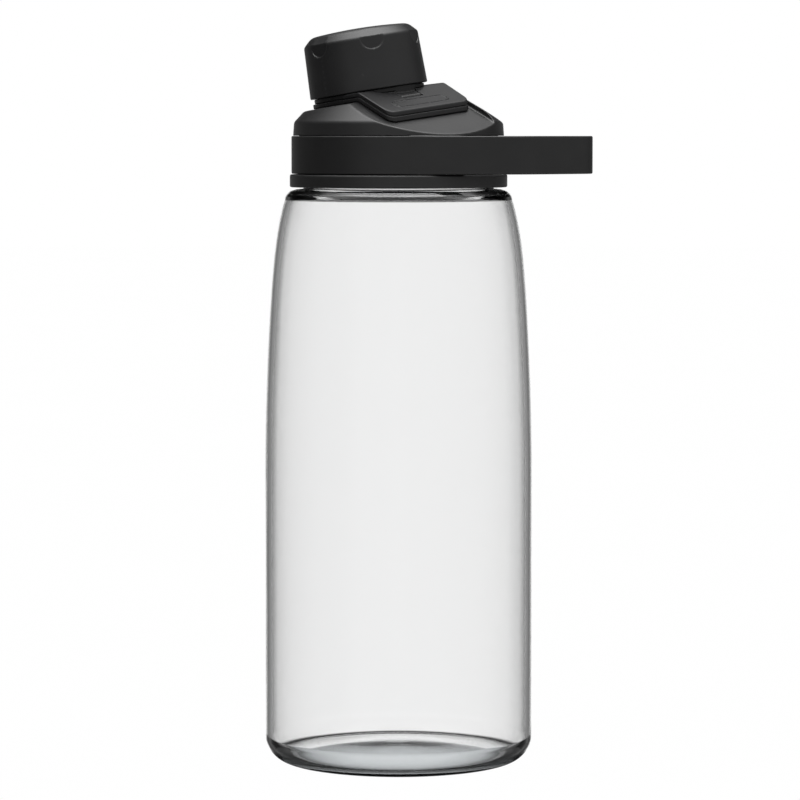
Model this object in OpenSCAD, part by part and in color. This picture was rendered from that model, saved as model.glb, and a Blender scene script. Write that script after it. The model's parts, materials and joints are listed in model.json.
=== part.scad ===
// Wide-mouth water bottle: clear body, screw lid with a carry loop, a tilted
// drinking spout, and a small screw cap held by a hinged swivel ring.
// Millimetres. Origin at the centre of the resting face, +Z up,
// +X towards the carry loop, -Y towards the tether tab's side.

/* [Body] */
// Outer radius of the straight part of the body
body_r = 47; // [46.5:0.1:47.5]
// Height where the straight part ends and the long taper begins
straight_top = 98; // [90:1:100]
// Height of the shoulder's upper edge
shoulder_z = 201; // [200.6:0.1:201.2]
// Wall thickness of the clear body
wall = 2; // [1.8:0.1:2.4]
// Height of the raised centre of the base
punt_h = 3.2; // [2:0.2:4]

/* [Neck] */
// Outer radius of the neck under its thread
neck_r = 31; // [30.8:0.1:31.2]
// Top of the neck
neck_top = 216; // [215.5:0.1:216]
// Rise of the neck thread in one turn
thread_lead = 6; // [5.5:0.25:6.5]

/* [Lid] */
// Outer radius of the lower collar band
collar_r = 38.1; // [37.9:0.1:38.4]
// Outer radius of the handle band
band_r = 37.5; // [37.3:0.1:37.8]
// Outer radius of the lid cover at its foot
cover_r = 36.9; // [36.7:0.1:37]
// Bottom of the handle band
band_z0 = 206.35; // [206.3:0.05:206.5]
// Top of the handle band
band_z1 = 219.5; // [219.3:0.05:219.6]
// Radial thickness of the lid skirt's upper part
cover_wall = 2.4; // [2:0.1:2.6]

/* [Carry loop] */
// Furthest reach of the carry loop from the bottle's axis
loop_reach = 67.7; // [65:0.1:69]
// Half width of the loop's end bar
loop_end_half = 9.5; // [8:0.5:11]
// Thickness of the loop's walls
loop_wall = 4.8; // [4.2:0.1:5.2]

/* [Spout and cap] */
// Lean of the spout away from the carry loop, in degrees
sp_tilt = 9.05; // [8.8:0.05:9.3]
// Outer radius of the cap at its foot
cap_r = 20.7; // [20.5:0.1:20.8]
// Height of the cap's wall below its chamfer
cap_wall_h = 18.2; // [17.8:0.1:18.6]
// Number of grip hollows around the cap
grips = 6; // [3:1:8]
// Radius of each grip hollow
grip_r = 4.2; // [3.6:0.1:4.4]

/* [Tether tab] */
// Direction of the tab, in degrees from the carry loop
tab_az = 48.4; // [46:0.2:51]
// Half width of the tab
tab_half = 18.7; // [18.2:0.1:19]
// Reach of the tab's front edge from the spout's axis
tab_reach = 30; // [29:0.2:31]
// Downward bend of the tab and of the ledge it lies on, in degrees
tab_bend = 30.6; // [29.6:0.2:31]

/* [Hidden] */
$fn = 96;

// Clear body
base_flat = 40.5;         // outer edge of the resting ring
corner_h = 7.5;           // height of the rounded base corner
side_top = 197;           // where the taper meets the shoulder

// Spout axis where the cap's foot plane crosses it
spout_x = -10.35;
spout_z = 235.2;
bore_r = 11.5;            // drinking bore

// Heights along the spout, from the cap's foot plane
lid_top = -3.5;           // lid's top face
pocket_floor = -4.1;      // floor of the round pocket under the ring
ledge_top = -4.0;         // upper edge of the sloped ledge
flat_top = -0.3;          // tab's flat part at its -Y edge
fold_top = -0.2;          // tab's top face at its bend
ring_foot = -3.3;         // bottom of the tab's ring

// Lid cover
cover_foot = 219.75;
top_wall = 2.6;           // thickness under the top face
facet_wall = 2.4;         // thickness under the back facet and the ledge
back_x = 17.9;            // a point on the back facet, and its fall in degrees
back_z = 235.75;
back_fall = 31.6;

// Carry loop, half widths at its root and at its bend
loop_root_x = 2;
loop_root_half = 37.3;
loop_bend_x = 43.7;
loop_bend_half = 33.2;

// Tether tab, in tab_frame()
fold_x = 15.5;            // where the tab bends
ledge_x = 15.2;           // where the ledge under the tab bends
tab_layer = 1.5;          // thickness of each of the tab's two layers
flat_lean = 1.25;         // fall of the flat part towards +Y, in degrees
fold_half = 20.3;         // +Y edge at the bend
front_extra = 0.7;        // how far the +Y front corner lies beyond tab_half
hole_r = 19.9;            // hole in the tab around the cap's ring
ring_h = 1.55;
fit_gap = 0.05;
magnet_size = [3.6, 18, 1.4];

// Hinge, in on_slope()
pin_x = 6.9;
pin_z = -1.05;
pin_r = 0.6;
pin_len = 17.6;
knuckle_r = 1;
strap_half = 4.4;         // half width of the strap that joins ring and pin

// ---------- frames ----------
// Z along the spout, origin in the cap's foot plane
module spout_frame()
    translate([spout_x, 0, spout_z]) rotate([0, -sp_tilt, 0]) children();
// The same, with X turned towards the tab's front
module tab_frame() spout_frame() rotate([0, 0, -tab_az]) children();
// Within tab_frame(): origin at the bend, X down the tab's slope, Z off its face
module on_slope() translate([fold_x, 0, fold_top]) rotate([0, tab_bend, 0]) children();

// ---------- shared shapes ----------
// Turned solid; every outline is a list of [radius, height] points
module turned(outline) rotate_extrude() polygon(outline);

// Cylinder on the spout's axis between two heights
module spout_post(r, from, to)
    spout_frame() translate([0, 0, from]) cylinder(r = r, h = to - from);

// Interrupted thread: level arcs, each a quarter turn and a quarter lead on
module thread(root_r, crest_r, z, half_w, arcs) {
    for (i = [0:arcs - 1])
        rotate([0, 0, 20 + i * 90])
            translate([0, 0, z + thread_lead * i / 4])
                rotate_extrude(angle = 76, $fn = 96)
                    polygon([[root_r, -half_w], [crest_r, -half_w / 2.4],
                             [crest_r, half_w / 2.4], [root_r, half_w]]);
}

// Two ridges around the spout's axis, 3 apart
module ridge_pair(outline)
    for (k = [0:1])
        turned([for (point = outline) point + [0, k * 3]]);

// Arc of radius r that replaces the corner at tip
function unit(v) = v / norm(v);
function fillet(tip, before, after, r, steps) =
    let (to_before = unit(before - tip),
         to_after = unit(after - tip),
         half = acos(to_before * to_after) / 2,
         setback = r / tan(half),
         centre = tip + unit(to_before + to_after) * (r / sin(half)),
         start = tip + to_before * setback - centre,
         end = tip + to_after * setback - centre,
         start_a = atan2(start[1], start[0]),
         raw = atan2(end[1], end[0]) - start_a,
         sweep = raw > 180 ? raw - 360 : raw < -180 ? raw + 360 : raw)
    [for (i = [0:steps])
        let (a = start_a + sweep * i / steps) centre + r * [cos(a), sin(a)]];
// Closed outline with corner i rounded to radii[i]
function rounded(points, radii, steps) =
    let (count = len(points))
    [for (i = [0:count - 1])
        each fillet(points[i], points[(i + count - 1) % count], points[(i + 1) % count],
                    radii[i], steps)];

// ---------- clear body ----------
function base_corner(r0, r1, z0, h, steps) =
    [for (i = [0:steps])
        let (a = 90 * i / steps)
        [r0 + (r1 - r0) * pow(sin(a), 1.2), z0 + h * (1 - pow(cos(a), 1.2))]];
// Change of radius at fraction t of the taper's height
function taper(t) = -4.55 * pow(t, 1.9) - 2.45 * pow(t, 9);
function body_side(inset, steps) =
    [for (i = [0:steps])
        let (t = i / steps)
        [body_r - inset + taper(t), straight_top + t * (side_top - straight_top)]];

module bottle_body() {
    outside = concat(
        [[0, punt_h], [29, punt_h], [34, punt_h - 0.7], [37.4, 0.5], [38.2, 0]],
        base_corner(base_flat, body_r, 0, corner_h, 10),
        body_side(0, 22),
        [[39.55, 198.4], [39, 199.3], [38.2, 200.1], [37.1, 200.65], [35.6, shoulder_z],
         [33.4, shoulder_z + 0.15], [33.4, 201.4], [neck_r, 201.5],
         [neck_r, neck_top - 0.5], [neck_r - 0.5, neck_top], [0, neck_top]]);
    floor_z = punt_h + wall;
    inside = concat(
        [[0, floor_z + 0.6], [29.4, floor_z + 0.6], [34.3, floor_z - 0.2], [37.8, wall + 0.6]],
        base_corner(base_flat - 0.7, body_r - wall, wall + 0.4, corner_h - 1, 8),
        body_side(wall, 14),
        [[37.4, 197.9], [36.2, 198.6], [34.4, 199], [31.2, 199.2], [29.4, 199.9],
         [28.6, 201.6], [28.6, 230], [0, 230]]);
    color([0.85, 0.88, 0.9, 0.4])
    difference() {
        union() {
            turned(outside, $fn = 128);
            thread(root_r = neck_r - 0.6, crest_r = neck_r + 1.3, z = 205.2,
                   half_w = 0.95, arcs = 5);
        }
        turned(inside, $fn = 128);
    }
}

// ---------- lid ----------
module lid_gasket() {
    color([0.75, 0.76, 0.76])
    turned([[28.7, 216.15], [29.1, 216.05], [30.6, 216.05], [31, 216.15],
            [31, 217.05], [30.6, 217.15], [29.1, 217.15], [28.7, 217.05]]);
}

module lid_base() {
    outside = [[0, 201.65], [collar_r - 0.5, 201.65], [collar_r, 202.2], [collar_r, 205.7],
               [collar_r - 0.4, 206.1], [34.9, 206.1], [34.9, 219.3], [34.5, 219.7],
               [0, 219.7]];
    inside = [[0, 200], [34.2, 200], [34.2, 202], [33.4, 202.8], [33.4, 216.9],
              [33.1, 217.2], [0, 217.2]];
    color([0.09, 0.09, 0.1])
    difference() {
        union() {
            turned(outside);
            // tilted boss around the spout's foot, kept above the lid's plate
            intersection() {
                spout_post(r = 17, from = -22, to = -10.6);
                translate([-40, -40, 219]) cube([80, 80, 20]);
            }
        }
        // the thread is left standing on the inner wall
        difference() {
            turned(inside);
            thread(root_r = 34, crest_r = neck_r + 1.65, z = 208.2, half_w = 0.9, arcs = 3);
        }
        spout_post(r = 14, from = -24, to = 6);
    }
}

// Blocks that fill the space above each face of the lid, sunk below it by depth
module above_top(depth)
    spout_frame() translate([-70, -70, lid_top - depth]) cube([140, 140, 60]);
// the facet that falls away towards the carry loop
module above_back(depth)
    translate([back_x, 0, back_z]) rotate([0, back_fall, 0])
        translate([-60, -60, -depth]) cube([140, 120, 60]);
// the ledge under the tab, a pocket with a side wall on each side
module above_ledge(depth)
    tab_frame() translate([ledge_x, 0, ledge_top]) rotate([0, tab_bend, 0])
        translate([0, 0, -depth])
            linear_extrude(60)
                polygon([[-12, 21 + depth], [60, 21 + depth],
                         [60, -14.8 - depth], [-12, -28.4 - depth]]);

// Drum with a conical top, before the faces are cut
module drum(foot_r, foot_z, peak_z)
    turned([[0, foot_z], [foot_r, foot_z], [foot_r - 0.3, 223.9], [foot_r - 0.9, 224.9],
            [foot_r - 12.2, peak_z], [0, peak_z]], $fn = 128);

module lid_cover() {
    color([0.12, 0.12, 0.13])
    difference() {
        drum(cover_r, cover_foot, 237);
        above_top(0);
        above_back(0);
        above_ledge(0);
        spout_post(r = 21.4, from = pocket_floor, to = pocket_floor + 20);
        // hollow inside
        difference() {
            drum(cover_r - cover_wall, 219, 236.3);
            above_top(top_wall);
            above_back(facet_wall);
            above_ledge(facet_wall);
        }
        // stepped hole for the spout and its flange
        spout_post(r = 15.3, from = -30, to = 10);
        spout_post(r = 17.7, from = -30, to = -6.35);
    }
}

module loop_shape(inset, bend_r, end_r) {
    root_half = loop_root_half - inset;
    bend_x = loop_bend_x - inset * 0.45;
    bend_half = loop_bend_half - inset;
    end_x = loop_reach - inset;
    end_half = loop_end_half - inset * 0.42;
    polygon(rounded(
        [[loop_root_x, -root_half], [bend_x, -bend_half], [end_x, -end_half],
         [end_x, end_half], [bend_x, bend_half], [loop_root_x, root_half]],
        [0.5, bend_r, end_r, end_r, bend_r, 0.5], 8));
}

module carry_handle() {
    band_h = band_z1 - band_z0;
    color([0.12, 0.12, 0.13])
    difference() {
        union() {
            translate([0, 0, band_z0]) cylinder(r = band_r, h = band_h, $fn = 128);
            difference() {
                translate([0, 0, band_z0]) linear_extrude(band_h) loop_shape(0, 9, 6);
                translate([0, 0, band_z0 - 1]) linear_extrude(band_h + 2)
                    loop_shape(loop_wall, 6, 3.5);
            }
        }
        translate([0, 0, band_z0 - 1]) cylinder(r = 35, h = 20, $fn = 128);
    }
}

// ---------- spout ----------
module drinking_spout() {
    color([0.2, 0.2, 0.21])
    spout_frame() {
        turned([[bore_r, -17], [13.9, -17], [13.9, -8.6], [17.4, -8.6], [17.4, -6.45],
                [15, -6.45], [15, -2], [13.5, -1.2], [13.5, 9.6], [13.3, 10.5],
                [12.8, 10.8], [12, 10.8], [bore_r, 10.3]]);
        ridge_pair([[13.2, 2.1], [14.3, 2.7], [14.3, 3.3], [13.2, 3.9]]);
    }
}

module spout_seal() {
    color([0.7, 0.71, 0.71])
    spout_frame() translate([0, 0, -9.6])
        rotate_extrude() translate([15.5, 0]) circle(r = 0.92, $fn = 32);
}

// ---------- tether tab ----------
// Plan outline of the tab: a straight -Y edge, a +Y edge that closes in
// slightly towards the front, and two rounded front corners
module tab_plan(inset = 0) {
    front_x = tab_reach - inset;
    translate([0, 0, -20]) linear_extrude(30)
        polygon(rounded(
            [[0, -tab_half + inset], [front_x, -tab_half + inset],
             [front_x, tab_half + front_extra - inset],
             [fold_x + 1.6, fold_half - inset], [0, fold_half - inset]],
            [0.3, 3 - inset, 3 - inset, 2, 0.3], 6));
}

// Everything below the tab's two top faces, moved down by depth and grown at
// its other sides by grow. The flat face is level in the lowest layers.
module under(depth, grow = 0) {
    level = depth > 2.9;
    intersection() {
        translate([-10, -tab_half, (level ? fold_top : flat_top) - depth])
            rotate([level ? 0 : -flat_lean, 0, 0])
                translate([-grow, -30 - grow, -30 - 5 * grow])
                    cube([60 + 2 * grow, 90 + 2 * grow, 30 + 5 * grow]);
        on_slope()
            translate([-40 - grow, -40 - grow, -40 - depth - 5 * grow])
                cube([80 + 2 * grow, 80 + 2 * grow, 40 + 5 * grow]);
    }
}

// Bent plate between two depths under the tab's top faces, cut to the plan
module bent_plate(upper, lower, inset = 0)
    intersection() {
        difference() {
            under(upper);
            under(lower, 2);
        }
        tab_plan(inset);
    }

module pin_axis() on_slope() translate([pin_x, 0, pin_z]) rotate([90, 0, 0]) children();

module magnet_bar(grow) {
    size = magnet_size + 2 * grow * [1, 1, 1];
    on_slope() translate([11.7 - grow, -9 - grow, -2.3 - grow]) cube(size);
}

// Slot for the strap, hole for the pin and pocket for the magnet
module tab_cuts(slot_end, slot_depth) {
    slot_half = strap_half + 0.2;
    on_slope() translate([2.5, -slot_half, -slot_depth])
        cube([slot_end - 2.5, 2 * slot_half, 12]);
    pin_axis() cylinder(r = pin_r + 0.01, h = pin_len + 0.2, center = true);
    magnet_bar(fit_gap);
}

module tether_base() {
    color([0.13, 0.13, 0.14])
    tab_frame()
    difference() {
        union() {
            translate([0, 0, ring_foot]) cylinder(r = hole_r - fit_gap, h = ring_h);
            // the ring stands a little wider where the tab doesn't cover it
            difference() {
                translate([0, 0, ring_foot]) cylinder(r = 20.1, h = ring_h);
                translate([-0.3, -30, -6]) cube([40, 60, 10]);
            }
            bent_plate(tab_layer + fit_gap, 3.1);
            // plinth that carries the plate, set back from its edge
            translate([0, 0, pocket_floor + 0.02]) cylinder(r = 19.6, h = 1);
            bent_plate(3, 3.25, inset = 1.6);
        }
        translate([0, 0, -10]) cylinder(r = 18.7, h = 20);
        tab_cuts(slot_end = pin_x + 1.3, slot_depth = 2.3);
    }
}

// Bar along Y with round ends, 20 between their centres
module round_bar(r, h) {
    cube([2 * r, 20, h], center = true);
    for (side = [-1, 1])
        translate([0, side * 10, 0]) cylinder(r = r, h = h, center = true);
}

module tab_cover() {
    color([0.2, 0.2, 0.21])
    union() {
        tab_frame() difference() {
            bent_plate(0, tab_layer);
            translate([0, 0, -10]) cylinder(r = hole_r, h = 20);
            tab_cuts(slot_end = pin_x + 1.5, slot_depth = 4);
        }
        // plain raised border
        tab_frame() on_slope() translate([12, 0, -0.15])
            difference() {
                round_bar(r = 2.4, h = 0.8);
                round_bar(r = 1.8, h = 4);
            }
    }
}

module tab_magnet() {
    color([0.7, 0.7, 0.72])
    tab_frame() magnet_bar(0);
}

module hinge_pin() {
    color([0.75, 0.75, 0.77])
    tab_frame() pin_axis() cylinder(r = pin_r, h = pin_len, center = true);
}

// ---------- cap ----------
module cap_ring() {
    strap_w = 2 * strap_half;
    color([0.13, 0.13, 0.14])
    tab_frame()
    difference() {
        union() {
            translate([0, 0, -1.65]) cylinder(r = 19.4, h = 1.5);
            // strap: a heel under the ring, a tongue flush with the tab, a knuckle
            intersection() {
                translate([18.4, -strap_half, -2.9]) cube([1.5, strap_w, 2.75]);
                translate([0, 0, -4]) cylinder(r = 19.45, h = 5);
            }
            on_slope() translate([4, -strap_half, -1]) cube([pin_x - 4, strap_w, 0.95]);
            pin_axis() cylinder(r = knuckle_r, h = strap_w, center = true);
        }
        translate([0, 0, -5]) cylinder(r = 17.7, h = 10);
        pin_axis() cylinder(r = pin_r + fit_gap, h = 40, center = true);
    }
}

module cap_shell() {
    chamfer = 3;
    rim_r = cap_r - 0.6;            // top of the slightly tapered wall
    crown_r = rim_r - chamfer;
    crown_z = cap_wall_h + chamfer;
    crown_h = 0.9;                  // rise of the domed top
    first_grip = -78.6;             // degrees from the spout frame's X
    outline = concat(
        [[18.9, 0], [cap_r - 0.3, 0], [cap_r, 0.3], [rim_r, cap_wall_h], [crown_r, crown_z]],
        [for (i = [1:5])
            let (t = i / 6) [crown_r * (1 - t), crown_z + crown_h * (1 - pow(1 - t, 2))]],
        [[0, crown_z + crown_h], [0, cap_wall_h + 0.6], [17.1, cap_wall_h + 0.6],
         [18.5, cap_wall_h - 0.8], [18.5, 13.6], [18.9, 13.2]]);
    color([0.16, 0.16, 0.17])
    spout_frame()
    difference() {
        turned(outline, $fn = 128);
        // each hollow: a round cut in the wall and a flat one up the chamfer
        for (i = [0:grips - 1]) rotate([0, 0, first_grip + i * 360 / grips]) {
            translate([cap_r - 1.15, 0, cap_wall_h - 0.1])
                rotate([0, 90, 0]) cylinder(r = grip_r, h = 5);
            translate([rim_r, 0, cap_wall_h]) rotate([0, -45, 0])
                translate([-0.22, -grip_r + 0.3, -0.3]) cube([4, 2 * grip_r - 0.6, 9]);
        }
    }
}

module cap_core() {
    color([0.22, 0.22, 0.23])
    spout_frame() {
        turned([[17, -2.55], [17.6, -2.55], [17.6, 0.1], [18.2, 0.3],
                [18.2, cap_wall_h - 0.9], [17, cap_wall_h + 0.3], [16.4, cap_wall_h + 0.3],
                [16.4, 13.9], [6, 13.9], [6, cap_wall_h + 0.5], [0, cap_wall_h + 0.5],
                [0, 12.45], [16.8, 12.45], [16.8, 0], [17, -0.8]]);
        ridge_pair([[17, 3.2], [16.5, 3.6], [16.5, 4], [17, 4.4]]);
    }
}

module cap_seal() {
    color([0.7, 0.71, 0.71])
    spout_frame() turned([[0, 10.9], [15.2, 10.9], [15.6, 11.2], [15.6, 12.4], [0, 12.4]]);
}

module keeper_ring() {
    color([0.7, 0.7, 0.72])
    spout_frame() turned([[18.26, 4], [18.84, 4], [18.84, 13], [18.26, 13]]);
}

module cap_snap_ring() {
    color([0.25, 0.25, 0.26])
    spout_frame()
        turned([[17.62, -2.55], [18.2, -2.55], [18.2, -2.1], [18, -1.8], [17.62, -1.8]]);
}

bottle_body();
lid_gasket();
lid_base();
lid_cover();
carry_handle();
drinking_spout();
spout_seal();
tether_base();
tab_cover();
tab_magnet();
hinge_pin();
cap_ring();
cap_shell();
cap_core();
cap_seal();
keeper_ring();
cap_snap_ring();
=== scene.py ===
"""Clear water bottle with a dark screw lid, a carry loop and a tethered screw cap on a spout.

The bottle stands on z = 0 with its axis on world z. The carry loop reaches out to +x.
The spout leans, so its cap and the tab that holds the cap are built in frames that
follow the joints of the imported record. Modelling is in millimetres, Blender in metres.
"""
import json
import math

import bpy
import numpy as np
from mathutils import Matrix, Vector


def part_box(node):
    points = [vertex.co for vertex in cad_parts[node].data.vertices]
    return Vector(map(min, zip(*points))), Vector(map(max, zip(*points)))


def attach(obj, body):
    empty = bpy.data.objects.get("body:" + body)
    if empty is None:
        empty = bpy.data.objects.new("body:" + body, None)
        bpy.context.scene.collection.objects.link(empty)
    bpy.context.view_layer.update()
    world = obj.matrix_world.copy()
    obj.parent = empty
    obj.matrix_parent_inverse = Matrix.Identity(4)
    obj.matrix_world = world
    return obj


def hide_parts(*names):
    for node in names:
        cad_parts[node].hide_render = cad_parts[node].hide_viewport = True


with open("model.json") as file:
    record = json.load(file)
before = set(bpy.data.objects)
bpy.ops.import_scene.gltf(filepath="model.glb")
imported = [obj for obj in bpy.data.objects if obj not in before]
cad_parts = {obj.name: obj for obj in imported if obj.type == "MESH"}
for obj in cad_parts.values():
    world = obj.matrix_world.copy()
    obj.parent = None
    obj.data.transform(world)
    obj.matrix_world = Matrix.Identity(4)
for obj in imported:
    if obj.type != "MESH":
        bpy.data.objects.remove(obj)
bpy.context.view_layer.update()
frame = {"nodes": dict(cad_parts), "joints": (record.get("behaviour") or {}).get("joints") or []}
MM = 0.001
TURN = 2 * math.pi
DIAGONAL = 0.7071                                          # scales a 45 degree slope to distance


# ---------------------------------------------------------------- frames
joints = {joint["name"]: joint for joint in frame["joints"]}
CAP_FOOT = np.array(joints["cap_turn"]["pos_m"], float) * 1000
SPOUT_AXIS = np.array(joints["cap_turn"]["axis"], float)
ACROSS_AXIS = np.array(joints["cap_swing"]["axis"], float)  # across the tab
SPOUT_AXIS /= np.linalg.norm(SPOUT_AXIS)
ACROSS_AXIS /= np.linalg.norm(ACROSS_AXIS)
OUT_AXIS = np.cross(ACROSS_AXIS, SPOUT_AXIS)               # out along the tab
SPOUT_X = np.array([SPOUT_AXIS[2], 0.0, -SPOUT_AXIS[0]])
# rows are the axes of each frame; both start at the cap's foot
TAB_FRAME = np.stack([OUT_AXIS, ACROSS_AXIS, SPOUT_AXIS])
SPOUT_FRAME = np.stack([SPOUT_X, np.cross(SPOUT_AXIS, SPOUT_X), SPOUT_AXIS])

# the tab bends down at the fold, from its flat face to its sloped one
FOLD_X, FOLD_Z = 15.5, -0.2
BEND = math.radians(30.6)
COS_BEND, SIN_BEND = math.cos(BEND), math.sin(BEND)


def to_tab(points):
    return (points - CAP_FOOT) @ TAB_FRAME.T


def to_spout(points):
    return (points - CAP_FOOT) @ SPOUT_FRAME.T


def to_slope(tab, fold_x=FOLD_X, fold_z=FOLD_Z):
    """tab frame -> frame lying on a face that slopes down from the fold"""
    dx, dz = tab[:, 0] - fold_x, tab[:, 2] - fold_z
    return np.stack([dx * COS_BEND - dz * SIN_BEND, tab[:, 1],
                     dx * SIN_BEND + dz * COS_BEND], 1)


def polar(points):
    """distance from the frame's z axis, and height"""
    return length2(points[:, 0], points[:, 1]), points[:, 2]


def winding(points):
    """angle round the frame's z axis, 0 to one turn"""
    return np.arctan2(points[:, 1], points[:, 0]) % TURN


# ---------------------------------------------------------------- smooth distance fields
def smax(a, b, blend=0.0):
    if blend <= 0:
        return np.maximum(a, b)
    h = np.clip(0.5 + 0.5 * (a - b) / blend, 0, 1)
    return b + (a - b) * h + blend * h * (1 - h)


def smin(a, b, blend=0.0):
    return -smax(-a, -b, blend)


def cut(a, b, blend=0.0):
    """a without b"""
    return smax(a, -b, blend)


def length2(a, b):
    return np.sqrt(a * a + b * b)


def round_and(a, b, radius):
    """what a and b share, with the edge between them rounded"""
    a, b = a + radius, b + radius
    return np.minimum(np.maximum(a, b), 0) + length2(np.maximum(a, 0), np.maximum(b, 0)) - radius


def extrude(outline, z, z0, z1, radius):
    """a plan outline between two heights, with rounded edges"""
    return round_and(outline, np.maximum(z0 - z, z - z1), radius)


def box(points, lo, hi, radius=0.0):
    lo, hi = np.array(lo, float), np.array(hi, float)
    centre, half = (lo + hi) / 2, (hi - lo) / 2 - radius
    d = np.abs(points - centre) - half
    return np.linalg.norm(np.maximum(d, 0), axis=1) + np.minimum(d.max(1), 0) - radius


# ---------------------------------------------------------------- screw threads
def windings(angle, foot, lead, turns):
    """both windings of a helix: angle travelled, height there, and where the thread exists"""
    for k in range(2):
        travelled = angle + TURN * k
        yield travelled, foot + lead * travelled / TURN, travelled < TURN * turns


def ridge(offset, steepness):
    """0 to 1 section of a ridge; offset 0 at the crest and 1 at the foot"""
    q = np.clip(steepness - steepness * offset, 0, 1)
    return q * q * (3 - 2 * q)


def thread_rise(z, angle, foot, lead, turns, half):
    rise = np.zeros(len(z))
    for _, height, present in windings(angle, foot, lead, turns):
        section = ridge(np.abs(z - height) / half, 1.5)
        rise = np.maximum(rise, np.where(present, section, 0))
    return rise


# ---------------------------------------------------------------- meshing
CORNERS = [(i & 1, i >> 1 & 1, i >> 2) for i in range(8)]
EDGES = [(i, i | bit) for bit in (1, 2, 4) for i in range(8) if not i & bit]
SLAB_POINTS = 400000     # field samples taken at once
GRADIENT_STEP = 0.02
SETTLE_PASSES = 3


def sample(field, lo, step, counts):
    axes = [lo[i] + step * np.arange(counts[i]) for i in range(3)]
    volume = np.empty(counts, np.float32)
    grid_y, grid_z = np.meshgrid(axes[1], axes[2], indexing="ij")
    grid_y, grid_z = grid_y.ravel(), grid_z.ravel()
    slab = max(1, SLAB_POINTS // len(grid_y))
    for i in range(0, counts[0], slab):
        xs = axes[0][i:i + slab]
        points = np.empty((len(xs) * len(grid_y), 3))
        points[:, 0] = np.repeat(xs, len(grid_y))
        points[:, 1] = np.tile(grid_y, len(xs))
        points[:, 2] = np.tile(grid_z, len(xs))
        volume[i:i + slab] = field(points).reshape(len(xs), counts[1], counts[2])
    return volume


def cell_points(volume, found):
    """mean edge crossing of each surface cell, in cells from the grid's corner"""
    total = np.zeros((len(found), 3))
    crossings = np.zeros(len(found))
    values = [volume[found[:, 0] + c[0], found[:, 1] + c[1], found[:, 2] + c[2]].astype(float)
              for c in CORNERS]
    for a, b in EDGES:
        crossed = (values[a] < 0) != (values[b] < 0)
        t = values[a][crossed] / (values[a][crossed] - values[b][crossed])
        start, end = np.array(CORNERS[a], float), np.array(CORNERS[b], float)
        total[crossed] += start + t[:, None] * (end - start)
        crossings[crossed] += 1
    return found + total / crossings[:, None]


def cell_quads(inside, cells, index):
    """a quad round each grid edge that crosses the surface, facing outwards"""
    quads = []
    for axis in range(3):
        a, b = (axis + 1) % 3, (axis + 2) % 3
        first = [slice(None)] * 3
        second = [slice(None)] * 3
        first[axis], second[axis] = slice(0, -1), slice(1, None)
        first_inside = inside[tuple(first)]
        e = np.argwhere(first_inside != inside[tuple(second)])
        e = e[(e[:, a] > 0) & (e[:, b] > 0) & (e[:, a] < cells[a]) & (e[:, b] < cells[b])]
        outward = first_inside[e[:, 0], e[:, 1], e[:, 2]]
        quad = []
        for da, db in ((-1, -1), (0, -1), (0, 0), (-1, 0)):
            c = e.copy()
            c[:, a] += da
            c[:, b] += db
            quad.append(index[c[:, 0], c[:, 1], c[:, 2]])
        quad = np.stack(quad, 1)
        quad[~outward] = quad[~outward][:, ::-1]
        quads.append(quad)
    return np.concatenate(quads)


def gradient(field, points):
    result = np.empty_like(points)
    for k in range(3):
        d = np.zeros(3)
        d[k] = GRADIENT_STEP
        result[:, k] = (field(points + d) - field(points - d)) / (2 * GRADIENT_STEP)
    return result


def surface_net(field, lo, hi, step):
    """dual mesh of field = 0 inside the box, then settled onto the true surface"""
    counts = np.ceil((hi - lo) / step).astype(int) + 1
    volume = sample(field, lo, step, counts)
    inside = volume < 0
    cells = counts - 1
    corners_in = np.zeros(cells, np.int8)
    for dx, dy, dz in CORNERS:
        corners_in += inside[dx:dx + cells[0], dy:dy + cells[1], dz:dz + cells[2]]
    active = (corners_in > 0) & (corners_in < 8)
    found = np.argwhere(active)
    index = np.full(cells, -1, np.int64)
    index[active] = np.arange(len(found))
    points = lo + step * cell_points(volume, found)
    quads = cell_quads(inside, cells, index)
    for _ in range(SETTLE_PASSES):
        slope = gradient(field, points)
        scale = field(points) / np.maximum((slope * slope).sum(1), 0.05)
        move = -scale[:, None] * slope
        distance = np.linalg.norm(move, axis=1)
        move *= np.minimum(1, 0.6 * step / np.maximum(distance, 1e-9))[:, None]
        points = points + move
    slope = gradient(field, points)
    normals = slope / np.maximum(np.linalg.norm(slope, axis=1), 1e-9)[:, None]
    return points, quads, normals


def link_object(name, mesh):
    ob = bpy.data.objects.new(name, mesh)
    bpy.context.scene.collection.objects.link(ob)
    return ob


def net_object(name, points, quads, normals):
    mesh = bpy.data.meshes.new(name)
    count = len(quads)
    mesh.vertices.add(len(points))
    mesh.vertices.foreach_set("co", (points * MM).astype(np.float32).ravel())
    mesh.loops.add(count * 4)
    mesh.loops.foreach_set("vertex_index", quads.astype(np.int32).ravel())
    mesh.polygons.add(count)
    mesh.polygons.foreach_set("loop_start", np.arange(0, count * 4, 4, dtype=np.int32))
    mesh.polygons.foreach_set("use_smooth", np.ones(count, bool))
    mesh.update(calc_edges=True)
    mesh.validate()
    mesh.normals_split_custom_set_from_vertices(normals.tolist())
    return link_object(name, mesh)


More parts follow.
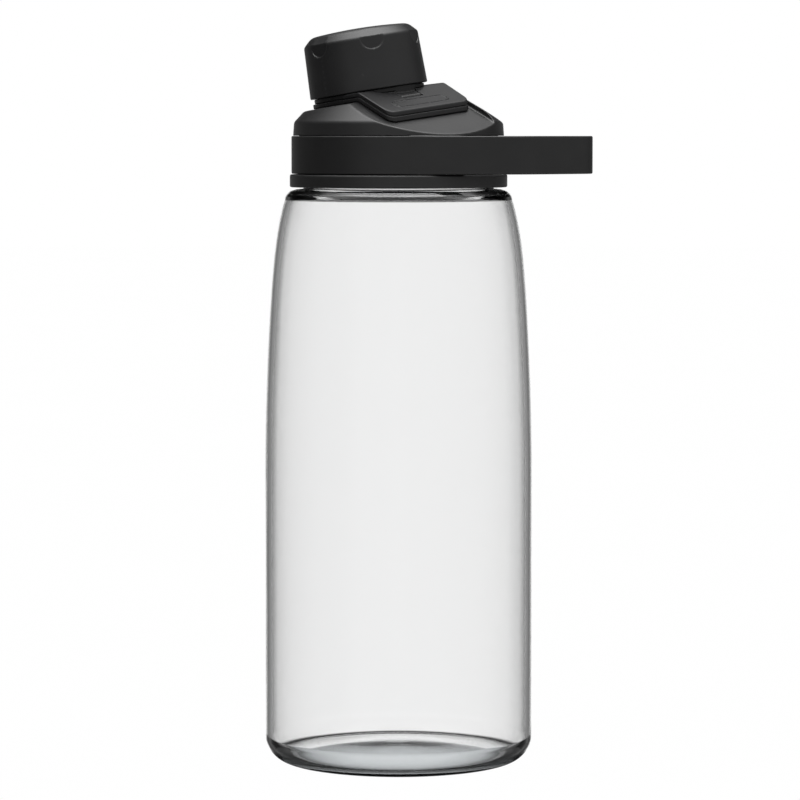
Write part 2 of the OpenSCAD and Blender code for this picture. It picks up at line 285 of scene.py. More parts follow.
def lathe(name, profile, segments, radius_at):
    """turns a profile of (r, z) points, which starts and ends on the axis"""
    last = len(profile) - 1
    angles = np.arange(segments) * 2 * math.pi / segments
    verts, rows = [], []
    for i, (r, z) in enumerate(profile):
        base = len(verts)
        if i in (0, last):
            rows.append([base] * segments)
            verts.append((0, 0, z))
        else:
            radii = radius_at(r, z, angles)
            verts.extend(zip(radii * np.cos(angles), radii * np.sin(angles),
                             np.full(segments, z)))
            rows.append(list(range(base, base + segments)))
    quads, tris = [], []
    for i in range(last):
        a, b = rows[i], rows[i + 1]
        for j in range(segments):
            k = (j + 1) % segments
            if a[j] == a[k]:
                tris.append((a[j], b[k], b[j]))
            elif b[j] == b[k]:
                tris.append((a[j], a[k], b[j]))
            else:
                quads.append((a[j], a[k], b[k], b[j]))
    mesh = bpy.data.meshes.new(name)
    mesh.from_pydata([tuple(c * MM for c in v) for v in verts], [], quads + tris)
    mesh.update()
    mesh.validate()
    for face in mesh.polygons:
        face.use_smooth = True
    return link_object(name, mesh)


def round_profile(points, radius, steps=6):
    """rounds the corners of an open profile"""
    points = [np.array(point, float) for point in points]
    out = [tuple(points[0])]
    for before, corner, after in zip(points, points[1:], points[2:]):
        u, v = before - corner, after - corner
        len_u, len_v = np.linalg.norm(u), np.linalg.norm(v)
        u, v = u / len_u, v / len_v
        half = math.acos(max(-1, min(1, float(u @ v)))) / 2
        if half > math.pi / 2 - 0.02:                       # almost straight on
            out.append(tuple(corner))
            continue
        reach = min(radius / math.tan(half), 0.48 * min(len_u, len_v))
        start, end = corner + u * reach, corner + v * reach
        for k in range(steps + 1):
            w = k / steps
            out.append(tuple((1 - w) ** 2 * start + 2 * w * (1 - w) * corner + w * w * end))
    out.append(tuple(points[-1]))
    return out


# ---------------------------------------------------------------- shader helpers
def new_tree(owner):
    owner.use_nodes = True
    owner.node_tree.nodes.clear()
    return owner.node_tree


def add_node(tree, kind, inputs=None, **settings):
    """inputs: socket name or number -> value, socket, or node (its first output)"""
    made = tree.nodes.new("ShaderNode" + kind)
    for key, value in settings.items():
        setattr(made, key, value)
    for key, value in (inputs or {}).items():
        if isinstance(value, bpy.types.Node):
            value = value.outputs[0]
        if isinstance(value, bpy.types.NodeSocket):
            tree.links.new(value, made.inputs[key])
        else:
            made.inputs[key].default_value = value
    return made


def object_coords(tree):
    return add_node(tree, "TexCoord").outputs["Object"]


def add_noise(tree, vector, scale, **inputs):
    values = {key.capitalize(): value for key, value in inputs.items()}
    return add_node(tree, "TexNoise", {"Vector": vector, "Scale": scale, **values},
                    noise_dimensions="3D")


def add_math(tree, operation, first, second):
    return add_node(tree, "Math", {0: first, 1: second}, operation=operation)


def add_range(tree, value, **limits):
    """limits: from_min, from_max, to_min, to_max"""
    named = {key.replace("_", " ").title(): limit for key, limit in limits.items()}
    return add_node(tree, "MapRange", {"Value": value, **named})


def add_bump(tree, height, strength, distance):
    return add_node(tree, "Bump", {"Strength": strength, "Distance": distance,
                                   "Height": height})


def add_ramp(tree, factor, stops, interpolation="LINEAR"):
    """stops: (position, colour)"""
    made = add_node(tree, "ValToRGB", {"Fac": factor})
    made.color_ramp.interpolation = interpolation
    elements = made.color_ramp.elements
    elements.remove(elements[-1])
    for i, (position, color) in enumerate(stops):
        element = elements[0] if i == 0 else elements.new(position)
        element.position = position
        element.color = color
    return made


def grey(value):
    return (value, value, value, 1)


def set_surface(tree, shader):
    add_node(tree, "OutputMaterial", {"Surface": shader})


# ---------------------------------------------------------------- materials
def moulded(name, base, rough, grain, bump, spec=0.5, edge_wear_and_highlight=0.35):
    """moulded plastic: fine grain (mm), slow tone drift, paler edges that are partly rubbed wear
    and partly a painted edge highlight
    """
    drift = 0.15             # tone drift either side of the base colour
    material = bpy.data.materials.new(name)
    tree = new_tree(material)
    coords = object_coords(tree)
    fine = add_noise(tree, coords, scale=1.0 / (grain * MM), detail=2.5, roughness=0.6)
    slow = add_noise(tree, coords, scale=90, detail=4)
    speck = add_node(tree, "TexVoronoi", {"Scale": 1.0 / (grain * 2.4 * MM), "Vector": coords})
    pointiness = add_node(tree, "NewGeometry").outputs["Pointiness"]
    # edges painted paler: partly rubbed wear, partly a painted highlight along every edge
    edge = add_ramp(tree, pointiness, [(0.505, grey(0)), (0.60, grey(1))])
    tone = add_ramp(tree, slow, [(0.3, tuple(c * (1 - drift) for c in base) + (1,)),
                                 (0.7, tuple(c * (1 + drift) for c in base) + (1,))])
    worn_and_highlit = add_node(tree, "Mix", {
        "Factor": add_math(tree, "MULTIPLY", edge, edge_wear_and_highlight),
        "A": tone,
        "B": tuple(min(1, c * 2.6 + 0.012) for c in base) + (1,)}, data_type="RGBA")
    height = add_node(tree, "Math", {0: speck, 1: 0.45, 2: fine}, operation="MULTIPLY_ADD")
    set_surface(tree, add_node(tree, "BsdfPrincipled", {
        "Base Color": worn_and_highlit.outputs["Result"],
        "Roughness": add_range(tree, fine, to_min=rough - 0.05, to_max=rough + 0.05),
        "IOR": 1.49,
        "Specular IOR Level": spec,
        "Normal": add_bump(tree, height, strength=bump, distance=0.00004)}))
    return material


def clear_plastic():
    """clear copolyester: refracts, with faint haze and slight waviness"""
    material = bpy.data.materials.new("clear_copolyester")
    tree = new_tree(material)
    coords = object_coords(tree)
    haze = add_noise(tree, coords, scale=260, detail=6)
    wave = add_noise(tree, coords, scale=28, detail=1)
    glass = add_node(tree, "BsdfPrincipled", {
        "Base Color": (0.989, 0.990, 0.990, 1),
        "Transmission Weight": 1.0,
        "IOR": 1.54,
        "Roughness": add_range(tree, haze, from_min=0.45, from_max=0.8,
                               to_min=0.0, to_max=0.035),
        "Normal": add_bump(tree, wave, strength=0.25, distance=0.0002)})
    # shadow and diffuse rays pass straight through with a slight tint
    tinted = add_node(tree, "BsdfTransparent", {"Color": (0.93, 0.94, 0.945, 1)})
    rays = add_node(tree, "LightPath").outputs
    straight = add_math(tree, "MAXIMUM", rays["Is Shadow Ray"], rays["Is Diffuse Ray"])
    set_surface(tree, add_node(tree, "MixShader", {"Fac": straight, 1: glass, 2: tinted}))
    return material


def silicone():
    material = bpy.data.materials.new("silicone_seal")
    tree = new_tree(material)
    mottle = add_noise(tree, object_coords(tree), scale=900, detail=4)
    set_surface(tree, add_node(tree, "BsdfPrincipled", {
        "Base Color": add_ramp(tree, mottle, [(0, (0.50, 0.51, 0.51, 1)),
                                              (1, (0.66, 0.67, 0.67, 1))]),
        "Roughness": 0.42,
        "Subsurface Weight": 0.25,
        "Subsurface Radius": (0.004, 0.004, 0.004),
        "Normal": add_bump(tree, mottle, strength=0.15, distance=0.00005)}))
    return material


def metal(name, base, rough, stretch):
    """stretch: how much the surface noise is squeezed along each axis"""
    material = bpy.data.materials.new(name)
    tree = new_tree(material)
    mapping = add_node(tree, "Mapping", {"Vector": object_coords(tree), "Scale": stretch})
    brushing = add_noise(tree, mapping, scale=1500, detail=3)
    set_surface(tree, add_node(tree, "BsdfPrincipled", {
        "Base Color": base,
        "Metallic": 1.0,
        "Roughness": add_range(tree, brushing, to_min=rough - 0.08, to_max=rough + 0.08),
        "Normal": add_bump(tree, brushing, strength=0.12, distance=0.00003)}))
    return material


LID_PLASTIC = moulded("lid_polypropylene", base=(0.0155, 0.0155, 0.0158), rough=0.42,
                      grain=0.20, bump=0.30)
# the handle takes a darker copy of the lid plastic: painted shade standing in for the dimmer light
# on the handle
HANDLE_SHADED_PLASTIC = moulded("handle_polypropylene_shaded", base=(0.0105, 0.0105, 0.0108), rough=0.44,
                         grain=0.20, bump=0.30)
CAP_PLASTIC = moulded("cap_polypropylene", base=(0.0135, 0.0135, 0.014), rough=0.40,
                      grain=0.17, bump=0.26)
TAB_PLASTIC = moulded("tab_satin", base=(0.0135, 0.0135, 0.014), rough=0.38,
                      grain=0.12, bump=0.18, spec=0.36)
SPOUT_PLASTIC = moulded("spout_smooth", base=(0.030, 0.030, 0.031), rough=0.24,
                        grain=0.10, bump=0.08, edge_wear_and_highlight=0.2)
CLEAR = clear_plastic()
SEAL = silicone()
STEEL = metal("brushed_steel", base=(0.56, 0.56, 0.57, 1), rough=0.3, stretch=(1, 1, 14))
NICKEL = metal("nickel_plate", base=(0.66, 0.64, 0.61, 1), rough=0.16, stretch=(1, 1, 1))


# ---------------------------------------------------------------- placing pieces
def dress(ob, material, body, source):
    """gives a piece its material and puts it in place of a CAD piece"""
    ob.data.materials.clear()
    ob.data.materials.append(material)
    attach(ob, body)
    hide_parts(source)


def build_moulding(source, field, step, material, body="lid"):
    """meshes a field over the CAD piece's box, with 1 mm to spare"""
    lo, hi = (np.array(corner) * 1000 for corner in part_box(source))
    ob = net_object(source + "_moulded", *surface_net(field, lo - 1.0, hi + 1.0, step))
    dress(ob, material, body, source)


# ---------------------------------------------------------------- bottle body
BODY_R, NECK_R, NECK_BORE, WALL = 47.0, 31.0, 28.6, 2.0
NECK_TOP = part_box("bottle_body")[1][2] * 1000
SHOULDER_Z, SHOULDER_H = 98, 99.0
THREAD_Z, THREAD_LEAD, THREAD_TURNS = 205.0, 6.0, 1.32
THREAD_HALF, THREAD_DEPTH = 1.25, 1.3
THREAD_FADE = 0.22           # radians over which each end dies away


def dome(radius, z, rise, power, stations):
    return [(radius * t, z + rise * (1 - t ** power) ** 1.1) for t in stations]


def heel(foot_r, side_r, z, rise, angles):
    return [(foot_r + (side_r - foot_r) * math.sin(a) ** 1.2,
             z + rise * (1 - math.cos(a) ** 1.2)) for a in angles]


def shoulder(side_r, stations):
    return [(side_r + (-4.55 * t ** 1.9 - 2.45 * t ** 9), SHOULDER_Z + t * SHOULDER_H)
            for t in stations]


def outer_profile():
    """(r, z) from the axis under the base up to the mouth"""
    points = dome(38.2, 0, 3.2, 1.5, np.linspace(0, 1, 30)) + [(39.3, 0.0), (40.5, 0.0)]
    points += heel(40.5, BODY_R, 0, 7.5, np.linspace(0.08, math.pi / 2, 32))
    points += [(BODY_R, z) for z in np.linspace(14, SHOULDER_Z, 11)]
    points += shoulder(BODY_R, np.linspace(0.03, 1, 70))
    points += round_profile(shoulder(BODY_R, [1])
                            + [(39.6, 198.7), (38.0, 200.5), (35.6, 201.0), (33.4, 201.15)],
                            2.4, 8)[1:]
    points += round_profile([(33.4, 201.15), (33.4, 201.42), (31.3, 201.5), (NECK_R, 202.0)],
                            0.25, 3)[1:]
    points += [(NECK_R, z) for z in np.arange(202.2, 214.6, 0.2)]
    points += round_profile([(NECK_R, 214.8), (NECK_R, NECK_TOP), (NECK_BORE, NECK_TOP),
                             (NECK_BORE, 214.5)], 0.9)[1:]
    return points


def inner_profile():
    """(r, z) from the mouth down to the axis inside the base"""
    side_r = BODY_R - WALL
    points = [(NECK_BORE, z) for z in np.linspace(213, 203, 5)]
    points += round_profile([(NECK_BORE, 203), (NECK_BORE, 200.2), (31.0, 198.6),
                             (36.2, 198.3), (38.0, 197.3)] + shoulder(side_r, [0.985]),
                            1.3, 8)[1:]
    points += shoulder(side_r, np.linspace(0.97, 0, 60))
    points += [(side_r, z) for z in np.linspace(90, 14, 9)]
    points += heel(39.8, side_r, 2.4, 6.5, np.linspace(math.pi / 2, 0.12, 24))
    points += dome(39.0, 2.4, 3.4, 1.4, np.linspace(1, 0, 30))
    return points


def body_radius(r, z, angles):
    """the profile's radius, with the screw thread raised on the neck's outside"""
    rise = np.zeros(len(angles))
    if not (202.1 < z < 214.7 and abs(r - NECK_R) < 1e-6):
        return r + rise
    for travelled, height, present in windings(angles, THREAD_Z, THREAD_LEAD, THREAD_TURNS):
        section = ridge(np.abs(z - height) / THREAD_HALF, 1.55)
        to_end = np.minimum(travelled, TURN * THREAD_TURNS - travelled)
        fade = np.clip(to_end / THREAD_FADE, 0, 1)
        rise = np.maximum(rise, np.where(present, section * fade, 0) * THREAD_DEPTH)
    return r + rise


dress(lathe("bottle_body_clear", outer_profile() + inner_profile(), 320,
            body_radius), CLEAR, "bottle", "bottle_body")

# ---------------------------------------------------------------- lid base
COLLAR_R, COLLAR_Z0, COLLAR_Z1 = 38.1, 201.65, 206.1
HUB_R, HUB_Z0, HUB_Z1 = 34.9, 203, 219.7
LID_BORE_R, LID_BORE_TOP = 33.4, 217.2
LID_THREAD_Z, LID_THREAD_TURNS, LID_THREAD_HALF, LID_THREAD_DEPTH = 207.9, 1.15, 0.95, 0.72
SOCKET_R, SOCKET_BORE = 17.0, 14.0


def lid_base(points):
    r, z = polar(points)
    collar = extrude(r - COLLAR_R, z, COLLAR_Z0, COLLAR_Z1, 0.55)
    hub = extrude(r - HUB_R, z, HUB_Z0, HUB_Z1, 0.4)
    d = smin(collar, hub, 0.1)
    # leaning socket under the spout
    spout_r, spout_z = polar(to_spout(points))
    socket = extrude(spout_r - SOCKET_R, spout_z, -19, -10.6, 0.3)
    d = np.minimum(d, np.maximum(socket, 218 - z))
    # threaded bore, flared at its mouth
    bore = LID_BORE_R + 0.8 * np.clip((202.8 - z) / 0.8, 0, 1)
    bore = bore - LID_THREAD_DEPTH * thread_rise(z, winding(points), LID_THREAD_Z, THREAD_LEAD,
                                                 LID_THREAD_TURNS, LID_THREAD_HALF)
    d = cut(d, np.maximum(r - bore, z - LID_BORE_TOP), 0.15)
    return cut(d, spout_r - SOCKET_BORE, 0.2)


build_moulding("lid_base", lid_base, 0.45, LID_PLASTIC)

# ---------------------------------------------------------------- carry handle
BAND_R, BAND_BORE = 37.5, 35.0
(_, _, BAND_Z0), (LOOP_REACH, _, BAND_Z1) = (
    [c * 1000 for c in corner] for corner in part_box("carry_handle"))
LOOP_W = 4.8                 # width of the loop's strip
# (x, y) corners of half the loop's plan, mirrored about y = 0
LOOP_PLAN = np.array([(2, 37.3), (43.7, 33.2), (LOOP_REACH, 9.5)], float)


def loop_plan(x, y, inset, blend):
    """half planes of the loop's plan, set in and blended at the corners"""
    sides = []
    for start, end in zip(LOOP_PLAN, LOOP_PLAN[1:]):
        along = (end - start) / np.linalg.norm(end - start)
        sides.append((x - start[0]) * -along[1] + (y - start[1]) * along[0] + inset)
    return smax(smax(*sides, blend), x - (LOOP_REACH - inset), blend)


def carry_handle(points):
    r, z = polar(points)
    x, y = points[:, 0], np.abs(points[:, 1])
    band = extrude(r - BAND_R, z, BAND_Z0, BAND_Z1, 0.4)
    outside = smax(loop_plan(x, y, 0.0, 3.4), LOOP_PLAN[0, 0] - x, 4.0)
    inside = loop_plan(x, y, LOOP_W, 2.2)
    loop = extrude(cut(outside, inside), z, BAND_Z0, BAND_Z1, 0.45)
    loop = np.maximum(loop, 30.0 - r)
    return cut(smin(band, loop, 0.9), r - BAND_BORE, 0.25)


build_moulding("carry_handle", carry_handle, 0.42, HANDLE_SHADED_PLASTIC)

# ---------------------------------------------------------------- lid cover
COVER_Z0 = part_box("lid_cover")[0][2] * 1000
COVER_R, CONE_R, CONE_Z = 36.9, 36.0, 224.9
COVER_T = 2.4                # wall left under the sloped faces
TOP_Z, FLOOR_Z = -3.5, -4.1  # along the spout: top face, and floor of the cap's recess
RECESS_R = 21.4
LEDGE_X, LEDGE_Z = 15.2, -4.0  # tab frame: where the tab's pocket starts to slope
OUTER_SLOPE = math.radians(31.6)


def lid_cover(points):
    r, z = polar(points)
    spout_r, spout_z = polar(to_spout(points))

    def cone(radius):
        return (r - (radius - 0.934 * (z - CONE_Z))) * 0.731

    wall = (r - (COVER_R - 0.3 * (z - COVER_Z0) / 4.2)) * 0.998
    d = smax(wall, cone(CONE_R), 0.5)
    d = smax(d, spout_z - TOP_Z, 0.45)
    # flat face that falls towards +x
    outer_face = ((points[:, 0] - 17.9) * math.sin(OUTER_SLOPE)
                  + (z - 235.75) * math.cos(OUTER_SLOPE))
    d = smax(d, outer_face, 0.8)
    # sloped pocket under the tab, its -y side splayed
    tab = to_tab(points)
    ledge = to_slope(tab, LEDGE_X, LEDGE_Z)
    along, above = ledge[:, 0], ledge[:, 2]
    side_plus = tab[:, 1] - 21.0
    side_minus = (-14.8 - 0.1889 * (60 - along) - tab[:, 1]) * 0.9826
    pocket = smax(smax(-above, side_plus, 0.9), side_minus, 1.6)
    d = cut(d, np.maximum(pocket, -12 - along), 0.4)
    d = cut(d, np.maximum(spout_r - RECESS_R, FLOOR_Z - spout_z), 0.4)
    # hollow underside, which keeps clear of every outer face
    hollow = smax(r - 34.4, cone(CONE_R - 2.6), 1)
    hollow = smax(hollow, spout_z - (TOP_Z - 2.6), 0.6)
    hollow = smax(hollow, outer_face + COVER_T, 0.6)
    pocket_wall = np.minimum(above + COVER_T,
                             np.minimum(COVER_T - side_plus, COVER_T - side_minus))
    d = cut(d, smax(hollow, pocket_wall, 0.3), 0.3)
    d = smax(d, COVER_Z0 - 0.17 - z, 0.15)
    # stepped hole for the spout
    d = cut(d, np.maximum(spout_r - 17.7, spout_z + 6.35))
    return cut(d, spout_r - 15.3, 0.3)


build_moulding("lid_cover", lid_cover, 0.38, LID_PLASTIC)

# ---------------------------------------------------------------- spout
SPOUT_BORE = 11.5
CAP_LEAD, CAP_THREAD_TURNS = 3.2, 1.5    # shared by spout and cap
# radius, bottom, top, edge rounding
SPOUT_TUBE = (15.0, -9, -2, 0.3)
SPOUT_LIP = (13.5, -6, 10.8, 1.0)
SPOUT_ROOT = (13.9, -17, -7, 0.4)
SPOUT_FLANGE = (17.4, -8.6, -6.45, 0.25)


def drinking_spout(points):
    local = to_spout(points)
    r, z = polar(local)
    tube, lip, root, flange = (
        extrude(r - radius, z, z0, z1, rounding)
        for radius, z0, z1, rounding in (SPOUT_TUBE, SPOUT_LIP, SPOUT_ROOT, SPOUT_FLANGE))
    d = smin(smin(tube, lip, 0.8), smin(root, flange, 0.4), 0.2)
    for _, height, present in windings(winding(local), 2.2, CAP_LEAD, CAP_THREAD_TURNS):
        offset = np.abs(z - height)
        thread = smax(offset - 0.85, offset * 0.75 + r - 14.55, 0.3)
        thread = np.maximum(thread, 12.9 - r)
        d = smin(d, np.where(present, thread, 5.0), 0.35)
    return cut(d, r - SPOUT_BORE, 0.7)


build_moulding("drinking_spout", drinking_spout, 0.4, SPOUT_PLASTIC)

# ---------------------------------------------------------------- tether base, tab cover, cap ring
TAB_HALF, TAB_REACH, FAR_HALF, TAB_CORNER = 18.7, 30.0, 20.3, 3.0
FLAT_Z, LEAN = -0.3, math.radians(1.25)   # the flat face leans slightly across the tab
PIN_X, PIN_DEPTH, PIN_HOLE_R, PIN_HALF = 6.9, 1.05, 0.61, 8.9   # on the slope
STRAP_HALF, HOLE_R = 4.4, 19.9
RING_BORE = 17.7


def tab_plan(tab, inset):
    """plan outline of the tab, set back by inset"""
    x, y = tab[:, 0], tab[:, 1]
    minus = -TAB_HALF + inset - y
    end = x - (TAB_REACH - inset)
    x0, y0 = FOLD_X + 1.6, FAR_HALF - inset
    x1, y1 = TAB_REACH - inset, TAB_HALF + 0.7 - inset
    taper = ((x - x0) * (y0 - y1) + (y - y0) * (x1 - x0)) / math.hypot(x1 - x0, y1 - y0)
    plus = smax(y - y0, taper, 0.3)
    return np.maximum(round_and(minus, end, TAB_CORNER), round_and(plus, end, TAB_CORNER))


def bent_slab(tab, depth0, depth1):
    """slab between two depths below the tab's faces; only its upper layers lean"""
    sloped = to_slope(tab)[:, 2]

    def face(depth):
        if depth > 2.9:
            flat = tab[:, 2] - FOLD_Z
        else:
            flat = ((tab[:, 2] - FLAT_Z) * math.cos(LEAN)
                    + (tab[:, 1] + TAB_HALF) * math.sin(LEAN))
        return smax(flat + depth, sloped + depth, 0.5)
    return np.maximum(face(depth0), -face(depth1))


def strap_slot(slope, end_x, depth):
    half = STRAP_HALF + 0.2
    return box(slope, (2.5, -half, -depth), (end_x, half, 12), 0.25)


def pin_distance(slope):
    return length2(slope[:, 0] - PIN_X, slope[:, 2] + PIN_DEPTH)


def cut_hardware(d, slope):
    """room for the hinge pin and the magnet"""
    d = cut(d, np.maximum(pin_distance(slope) - PIN_HOLE_R, np.abs(slope[:, 1]) - PIN_HALF))
    return cut(d, box(slope, (11.65, -9.05, -2.35), (15.35, 9.05, -0.85)))


def tether_base(points):
    tab = to_tab(points)
    slope = to_slope(tab)
    r, z = polar(tab)
    ring = extrude(r - (HOLE_R - 0.05), z, -3.3, -1.75, 0.3)
    # the ring is slightly wider on the side away from the tab
    wide = extrude(r - 20.1, z, -3.3, -1.75, 0.3)
    ring = np.minimum(ring, np.maximum(wide, tab[:, 0] + 0.3))
    plate = round_and(tab_plan(tab, 0), bent_slab(tab, 1.55, 3.1), 0.32)
    plate = np.maximum(plate, -tab[:, 0])
    foot = extrude(r - 19.6, z, FLOOR_Z + 0.02, -3, 0.1)
    # thin layer under the plate, set in from its edge
    under = np.maximum(np.maximum(tab_plan(tab, 1.6), bent_slab(tab, 3.0, 3.25)), -tab[:, 0])
    d = smin(smin(ring, plate, 0.1), np.minimum(foot, under), 0.05)
    d = cut(d, r - 18.7, 0.2)
    d = cut(d, strap_slot(slope, PIN_X + 1.3, 2.3), 0.15)
    return cut_hardware(d, slope)


def tab_cover(points):
    tab = to_tab(points)
    slope = to_slope(tab)
    r, _ = polar(tab)
    d = round_and(tab_plan(tab, 0), bent_slab(tab, 0.0, 1.5), 0.42)
    d = np.maximum(d, -tab[:, 0])
    # plain raised border, a long rounded loop on the sloped face
    from_spine = length2(np.abs(slope[:, 0] - 12.0), np.maximum(np.abs(slope[:, 1]) - 10.0, 0))
    border = np.abs(from_spine - 2.1) - 0.28
    border = np.maximum(border, np.abs(slope[:, 2]) - 0.24)
    d = smin(d, border, 0.22)
    d = cut(d, r - HOLE_R, 0.2)
    d = cut(d, strap_slot(slope, PIN_X + 1.5, 4.0), 0.12)
    return cut_hardware(d, slope)


def cap_ring(points):
    tab = to_tab(points)
    slope = to_slope(tab)
    r, z = polar(tab)
    pin = pin_distance(slope)
    ring = extrude(r - 19.4, z, -1.65, -0.15, 0.3)
    heel_block = box(tab, (18.4, -STRAP_HALF, -2.9), (19.9, STRAP_HALF, -0.15), 0.1)
    heel_block = np.maximum(heel_block, r - 19.43)
    tongue = box(slope, (4.0, -STRAP_HALF, -1.0), (PIN_X, STRAP_HALF, -0.05), 0.3)
    knuckle = extrude(pin - 1.0, slope[:, 1], -STRAP_HALF, STRAP_HALF, 0.2)
    d = smin(smin(ring, heel_block, 0.4), smin(tongue, knuckle, 0.3), 0.4)
    d = cut(d, np.maximum(r - RING_BORE, -4 - z), 0.25)
    return cut(d, pin - 0.65)


build_moulding("tether_base", tether_base, 0.3, TAB_PLASTIC)
build_moulding("tab_cover", tab_cover, 0.26, TAB_PLASTIC)
build_moulding("cap_ring", cap_ring, 0.26, TAB_PLASTIC, body="cap_link")

# ---------------------------------------------------------------- cap
CAP_R, CAP_H, CHAMFER, CAP_DRAFT = 20.7, 18.2, 3.0, 0.6
CAP_TOP_R = CAP_R - CAP_DRAFT
GRIPS, GRIP_R, GRIP_START = 6, 4.2, -90 + 11.4   # finger hollows; first angle in degrees
CAP_BORE, CORE_R, CORE_BORE = 18.9, 18.2, 16.8


def cap_shell(points):
    local = to_spout(points)
    r, z = polar(local)
    side = r - (CAP_R - CAP_DRAFT * z / CAP_H)
    chamfer = ((r - CAP_TOP_R) + (z - CAP_H)) * DIAGONAL
    crown = z - (CAP_H + CHAMFER + 0.9 * (1 - (r / (CAP_TOP_R - CHAMFER)) ** 2))
    d = smax(side, chamfer, 0.5)
    d = smax(d, crown, 1.0)
    d = smax(d, -z, 0.45)
    for i in range(GRIPS):
        a = math.radians(GRIP_START + 60 * i)
        out = local[:, 0] * math.cos(a) + local[:, 1] * math.sin(a)
        across = -local[:, 0] * math.sin(a) + local[:, 1] * math.cos(a)
        # round hollow on the wall, below a slightly sunk flat across the chamfer
        hollow = smax(length2(across, z - (CAP_H - 0.1)) - GRIP_R, (CAP_R - 1.15) - out, 0.3)
        sunk = ((out - CAP_TOP_R) + (z - CAP_H)) * DIAGONAL + 0.24
        flat = np.maximum(np.maximum(np.abs(across) - (GRIP_R - 0.1), -sunk), CAP_H - 0.3 - z)
        d = cut(d, np.maximum(hollow, 8 - out), 0.3)
        d = cut(d, np.maximum(flat, 8 - out), 0.06)
    ceiling = CAP_H + 0.6
    inside = np.maximum(r - CAP_BORE + 0.4 * np.clip((z - 13.2) / 0.4, 0, 1),
                        ((r - 17.1) + (z - ceiling)) * DIAGONAL)
    return cut(d, np.maximum(inside, z - ceiling), 0.2)


def cap_core(points):
    local = to_spout(points)
    r, z = polar(local)
    top = CAP_H + 0.3
    d = extrude(r - CORE_R, z, 0.2, top, 0.2)
    d = smin(d, extrude(r - 17.6, z, -2.55, 3, 0.15), 0.1)
    d = smax(d, ((r - 17.0) + (z - top)) * DIAGONAL, 0.1)
    d = cut(d, np.maximum(r - 16.4, 13.9 - z))
    d = np.minimum(d, extrude(r - 6, z, 13, CAP_H + 0.5, 0.2))   # post on the axis
    bore = CORE_BORE + 0.2 * np.clip(-z / 0.8, 0, 1)
    bore = bore - 0.35 * thread_rise(z, winding(local), 3.0, CAP_LEAD, CAP_THREAD_TURNS, 0.7)
    return cut(d, np.maximum(r - bore, z - 12.45), 0.1)


build_moulding("cap_shell", cap_shell, 0.3, CAP_PLASTIC, body="cap")
build_moulding("cap_core", cap_core, 0.34, CAP_PLASTIC, body="cap")

# ---------------------------------------------------------------- CAD pieces kept as they are
KEPT = {"lid_gasket": SEAL, "spout_seal": SEAL, "cap_seal": SEAL, "hinge_pin": STEEL,
        "keeper_ring": STEEL, "tab_magnet": NICKEL, "cap_snap_ring": SPOUT_PLASTIC}
for piece, material in KEPT.items():
    mesh = frame["nodes"][piece].data
    mesh.materials.clear()
    mesh.materials.append(material)
    for face in mesh.polygons:
        face.use_smooth = False


# ---------------------------------------------------------------- floor
def floor_material():
    """the camera sees plain white; other rays see a shaded patch under the base"""
    material = bpy.data.materials.new("pale_floor")
    tree = new_tree(material)
    coords = object_coords(tree)
    white = add_ramp(tree, add_noise(tree, coords, scale=5),
                     [(0, grey(0.995)), (1, grey(1.0))])
    glow = add_node(tree, "Emission", {"Color": white, "Strength": 1.0})
    radius = add_node(tree, "VectorMath", {0: coords}, operation="LENGTH").outputs["Value"]
    # position 1 is 50 mm from the axis
    shades = [(0.0, 0.80), (0.60, 0.72), (0.72, 0.50), (0.79, 0.16), (0.84, 0.02), (1.0, 0.02)]
    shade = add_ramp(tree, add_math(tree, "MULTIPLY", radius, 20.0),
                     [(position, grey(value)) for position, value in shades])
    patch = add_node(tree, "BsdfDiffuse", {"Color": shade})
    outside = add_node(tree, "MapRange", {"Value": radius, "From Min": 0.045,
                                          "From Max": 0.050}, interpolation_type="SMOOTHSTEP")
    under = add_node(tree, "MixShader", {"Fac": outside, 1: patch,
                                         2: add_node(tree, "BsdfTransparent")})
    camera_ray = add_node(tree, "LightPath").outputs["Is Camera Ray"]
    set_surface(tree, add_node(tree, "MixShader", {"Fac": camera_ray, 1: under, 2: glow}))
    return material


pale_floor = floor_material()
bpy.ops.mesh.primitive_circle_add(vertices=96, radius=6, fill_type="NGON",
                                  location=(0, 0, -0.0003))
floor = bpy.context.object
floor.name = "floor"
floor.data.materials.append(pale_floor)


# ---------------------------------------------------------------- studio light
# Brightness against a direction's component, (-1 to 1, value). X, Y and Z are the camera's
# right, up and forward; OVERHEAD uses world z.
FLAGS_X = [(-0.66, 0.10), (-0.50, 0.30), (-0.40, 0.16), (-0.30, 0.20), (-0.19, 1.0),
           (0.19, 1.0), (0.30, 0.20), (0.40, 0.16), (0.50, 0.30), (0.66, 0.10)]
BEHIND_Z = [(-1, 0.0), (0.10, 0.0), (0.45, 1.0), (1, 1.0)]
FRONT_Z = [(-1, 0.46), (-0.2, 0.46), (0.25, 0.32), (0.5, 0.0)]
SIDE_X = [(-1, 0.15), (-0.85, 0.25), (-0.5, 1.0), (1, 1.0)]
OVERHEAD = [(-1, 0.0), (0.45, 0.0), (0.69, 0.02), (0.80, 0.30), (0.94, 0.9), (1, 1.0)]
TALL_Y = [(-0.85, 0.04), (-0.55, 0.25), (-0.34, 0.6), (-0.22, 1.0), (0.16, 1.0),
          (0.26, 0.35), (0.34, 0.06)]
ABOVE_Y = [(0.16, 1.0), (0.24, 0.12), (0.5, 0.08)]
OVERHEAD_STRENGTH = 5.0


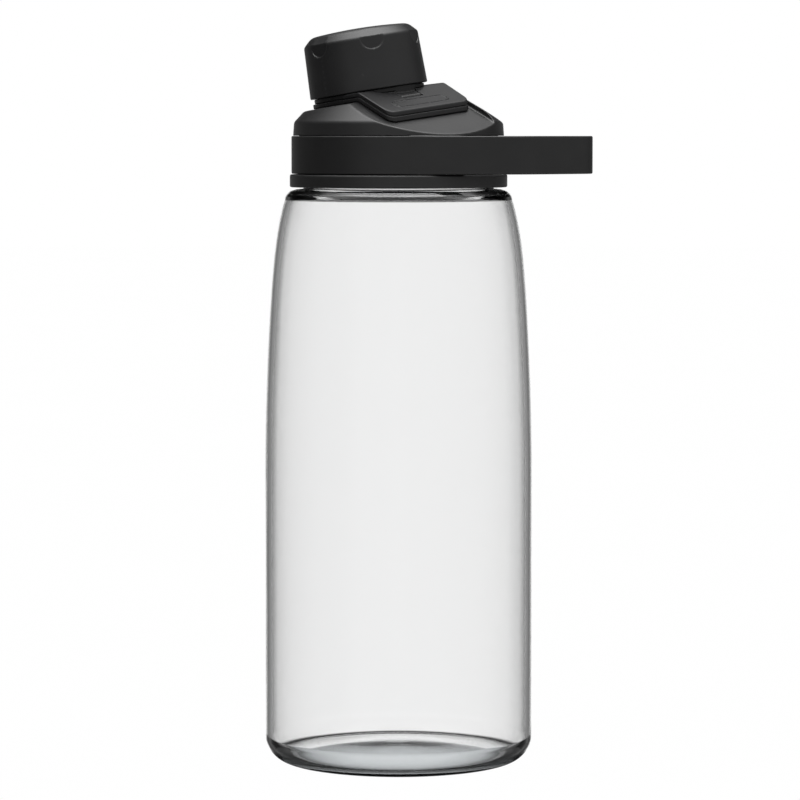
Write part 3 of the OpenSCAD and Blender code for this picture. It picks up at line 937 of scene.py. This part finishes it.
def build_world(scene):
    """light that stays fixed to the camera, apart from the soft box overhead"""
    world = bpy.data.worlds.new("studio")
    scene.world = world
    tree = new_tree(world)
    direction = add_node(tree, "TexCoord").outputs["Generated"]
    view = add_node(tree, "VectorTransform", {"Vector": direction}, vector_type="VECTOR",
                    convert_from="WORLD", convert_to="CAMERA")
    camera_axes = add_node(tree, "SeparateXYZ", {0: view}).outputs
    world_z = add_node(tree, "SeparateXYZ", {0: direction}).outputs["Z"]
    rays = add_node(tree, "LightPath").outputs

    def profile(component, stops):
        position = add_range(tree, component, from_min=-1, from_max=1)
        return add_ramp(tree, position, [((x + 1) / 2, grey(value)) for x, value in stops],
                        interpolation="EASE")

    def times(first, second):
        return add_math(tree, "MULTIPLY", first, second)

    def through(level):
        """level for light that comes through the clear body, 1 otherwise"""
        return add_node(tree, "Mix", {"Factor": rays["Is Transmission Ray"], "A": 1.0,
                                      "B": level}, data_type="FLOAT")

    # white backdrop with a dark flag on either side; it fades above, and seen through
    # the clear body it fades below as well
    backdrop = times(profile(camera_axes["X"], FLAGS_X), profile(camera_axes["Z"], BEHIND_Z))
    backdrop = times(backdrop, through(profile(camera_axes["Y"], TALL_Y)))
    backdrop = times(backdrop, profile(camera_axes["Y"], ABOVE_Y))
    # weak fill from the camera's side, weaker still on the left
    fill = times(profile(camera_axes["Z"], FRONT_Z), profile(camera_axes["X"], SIDE_X))
    fill = times(fill, through(0.3))
    # overhead soft box that fades towards the horizon
    soft_box = times(profile(world_z, OVERHEAD), OVERHEAD_STRENGTH)
    soft_box = times(soft_box, through(0.1))
    total = add_math(tree, "ADD", add_math(tree, "ADD", backdrop, fill), soft_box)
    # the camera itself sees plain white
    strength = add_node(tree, "Mix", {"Factor": rays["Is Camera Ray"], "A": total, "B": 1.0},
                        data_type="FLOAT")
    background = add_node(tree, "Background", {"Strength": strength, "Color": (1, 1, 1, 1)})
    add_node(tree, "OutputWorld", {"Surface": background})


scene = bpy.context.scene
build_world(scene)

# ---------------------------------------------------------------- camera and render
lens = bpy.data.cameras.new("camera")
camera = link_object("camera", lens)
camera.location = (0.0005, -1.274, 0.2195)
camera.rotation_euler = (math.radians(85.84), 0, 0)
lens.sensor_width = 36
lens.lens = 163.35
lens.clip_start = 0.01
lens.clip_end = 100
scene.camera = camera
scene.view_settings.view_transform = "Standard"
scene.view_settings.look = "None"
scene.cycles.max_bounces = 16
scene.cycles.transmission_bounces = 14
scene.cycles.transparent_max_bounces = 16
scene.cycles.caustics_reflective = False
scene.cycles.use_denoising = True
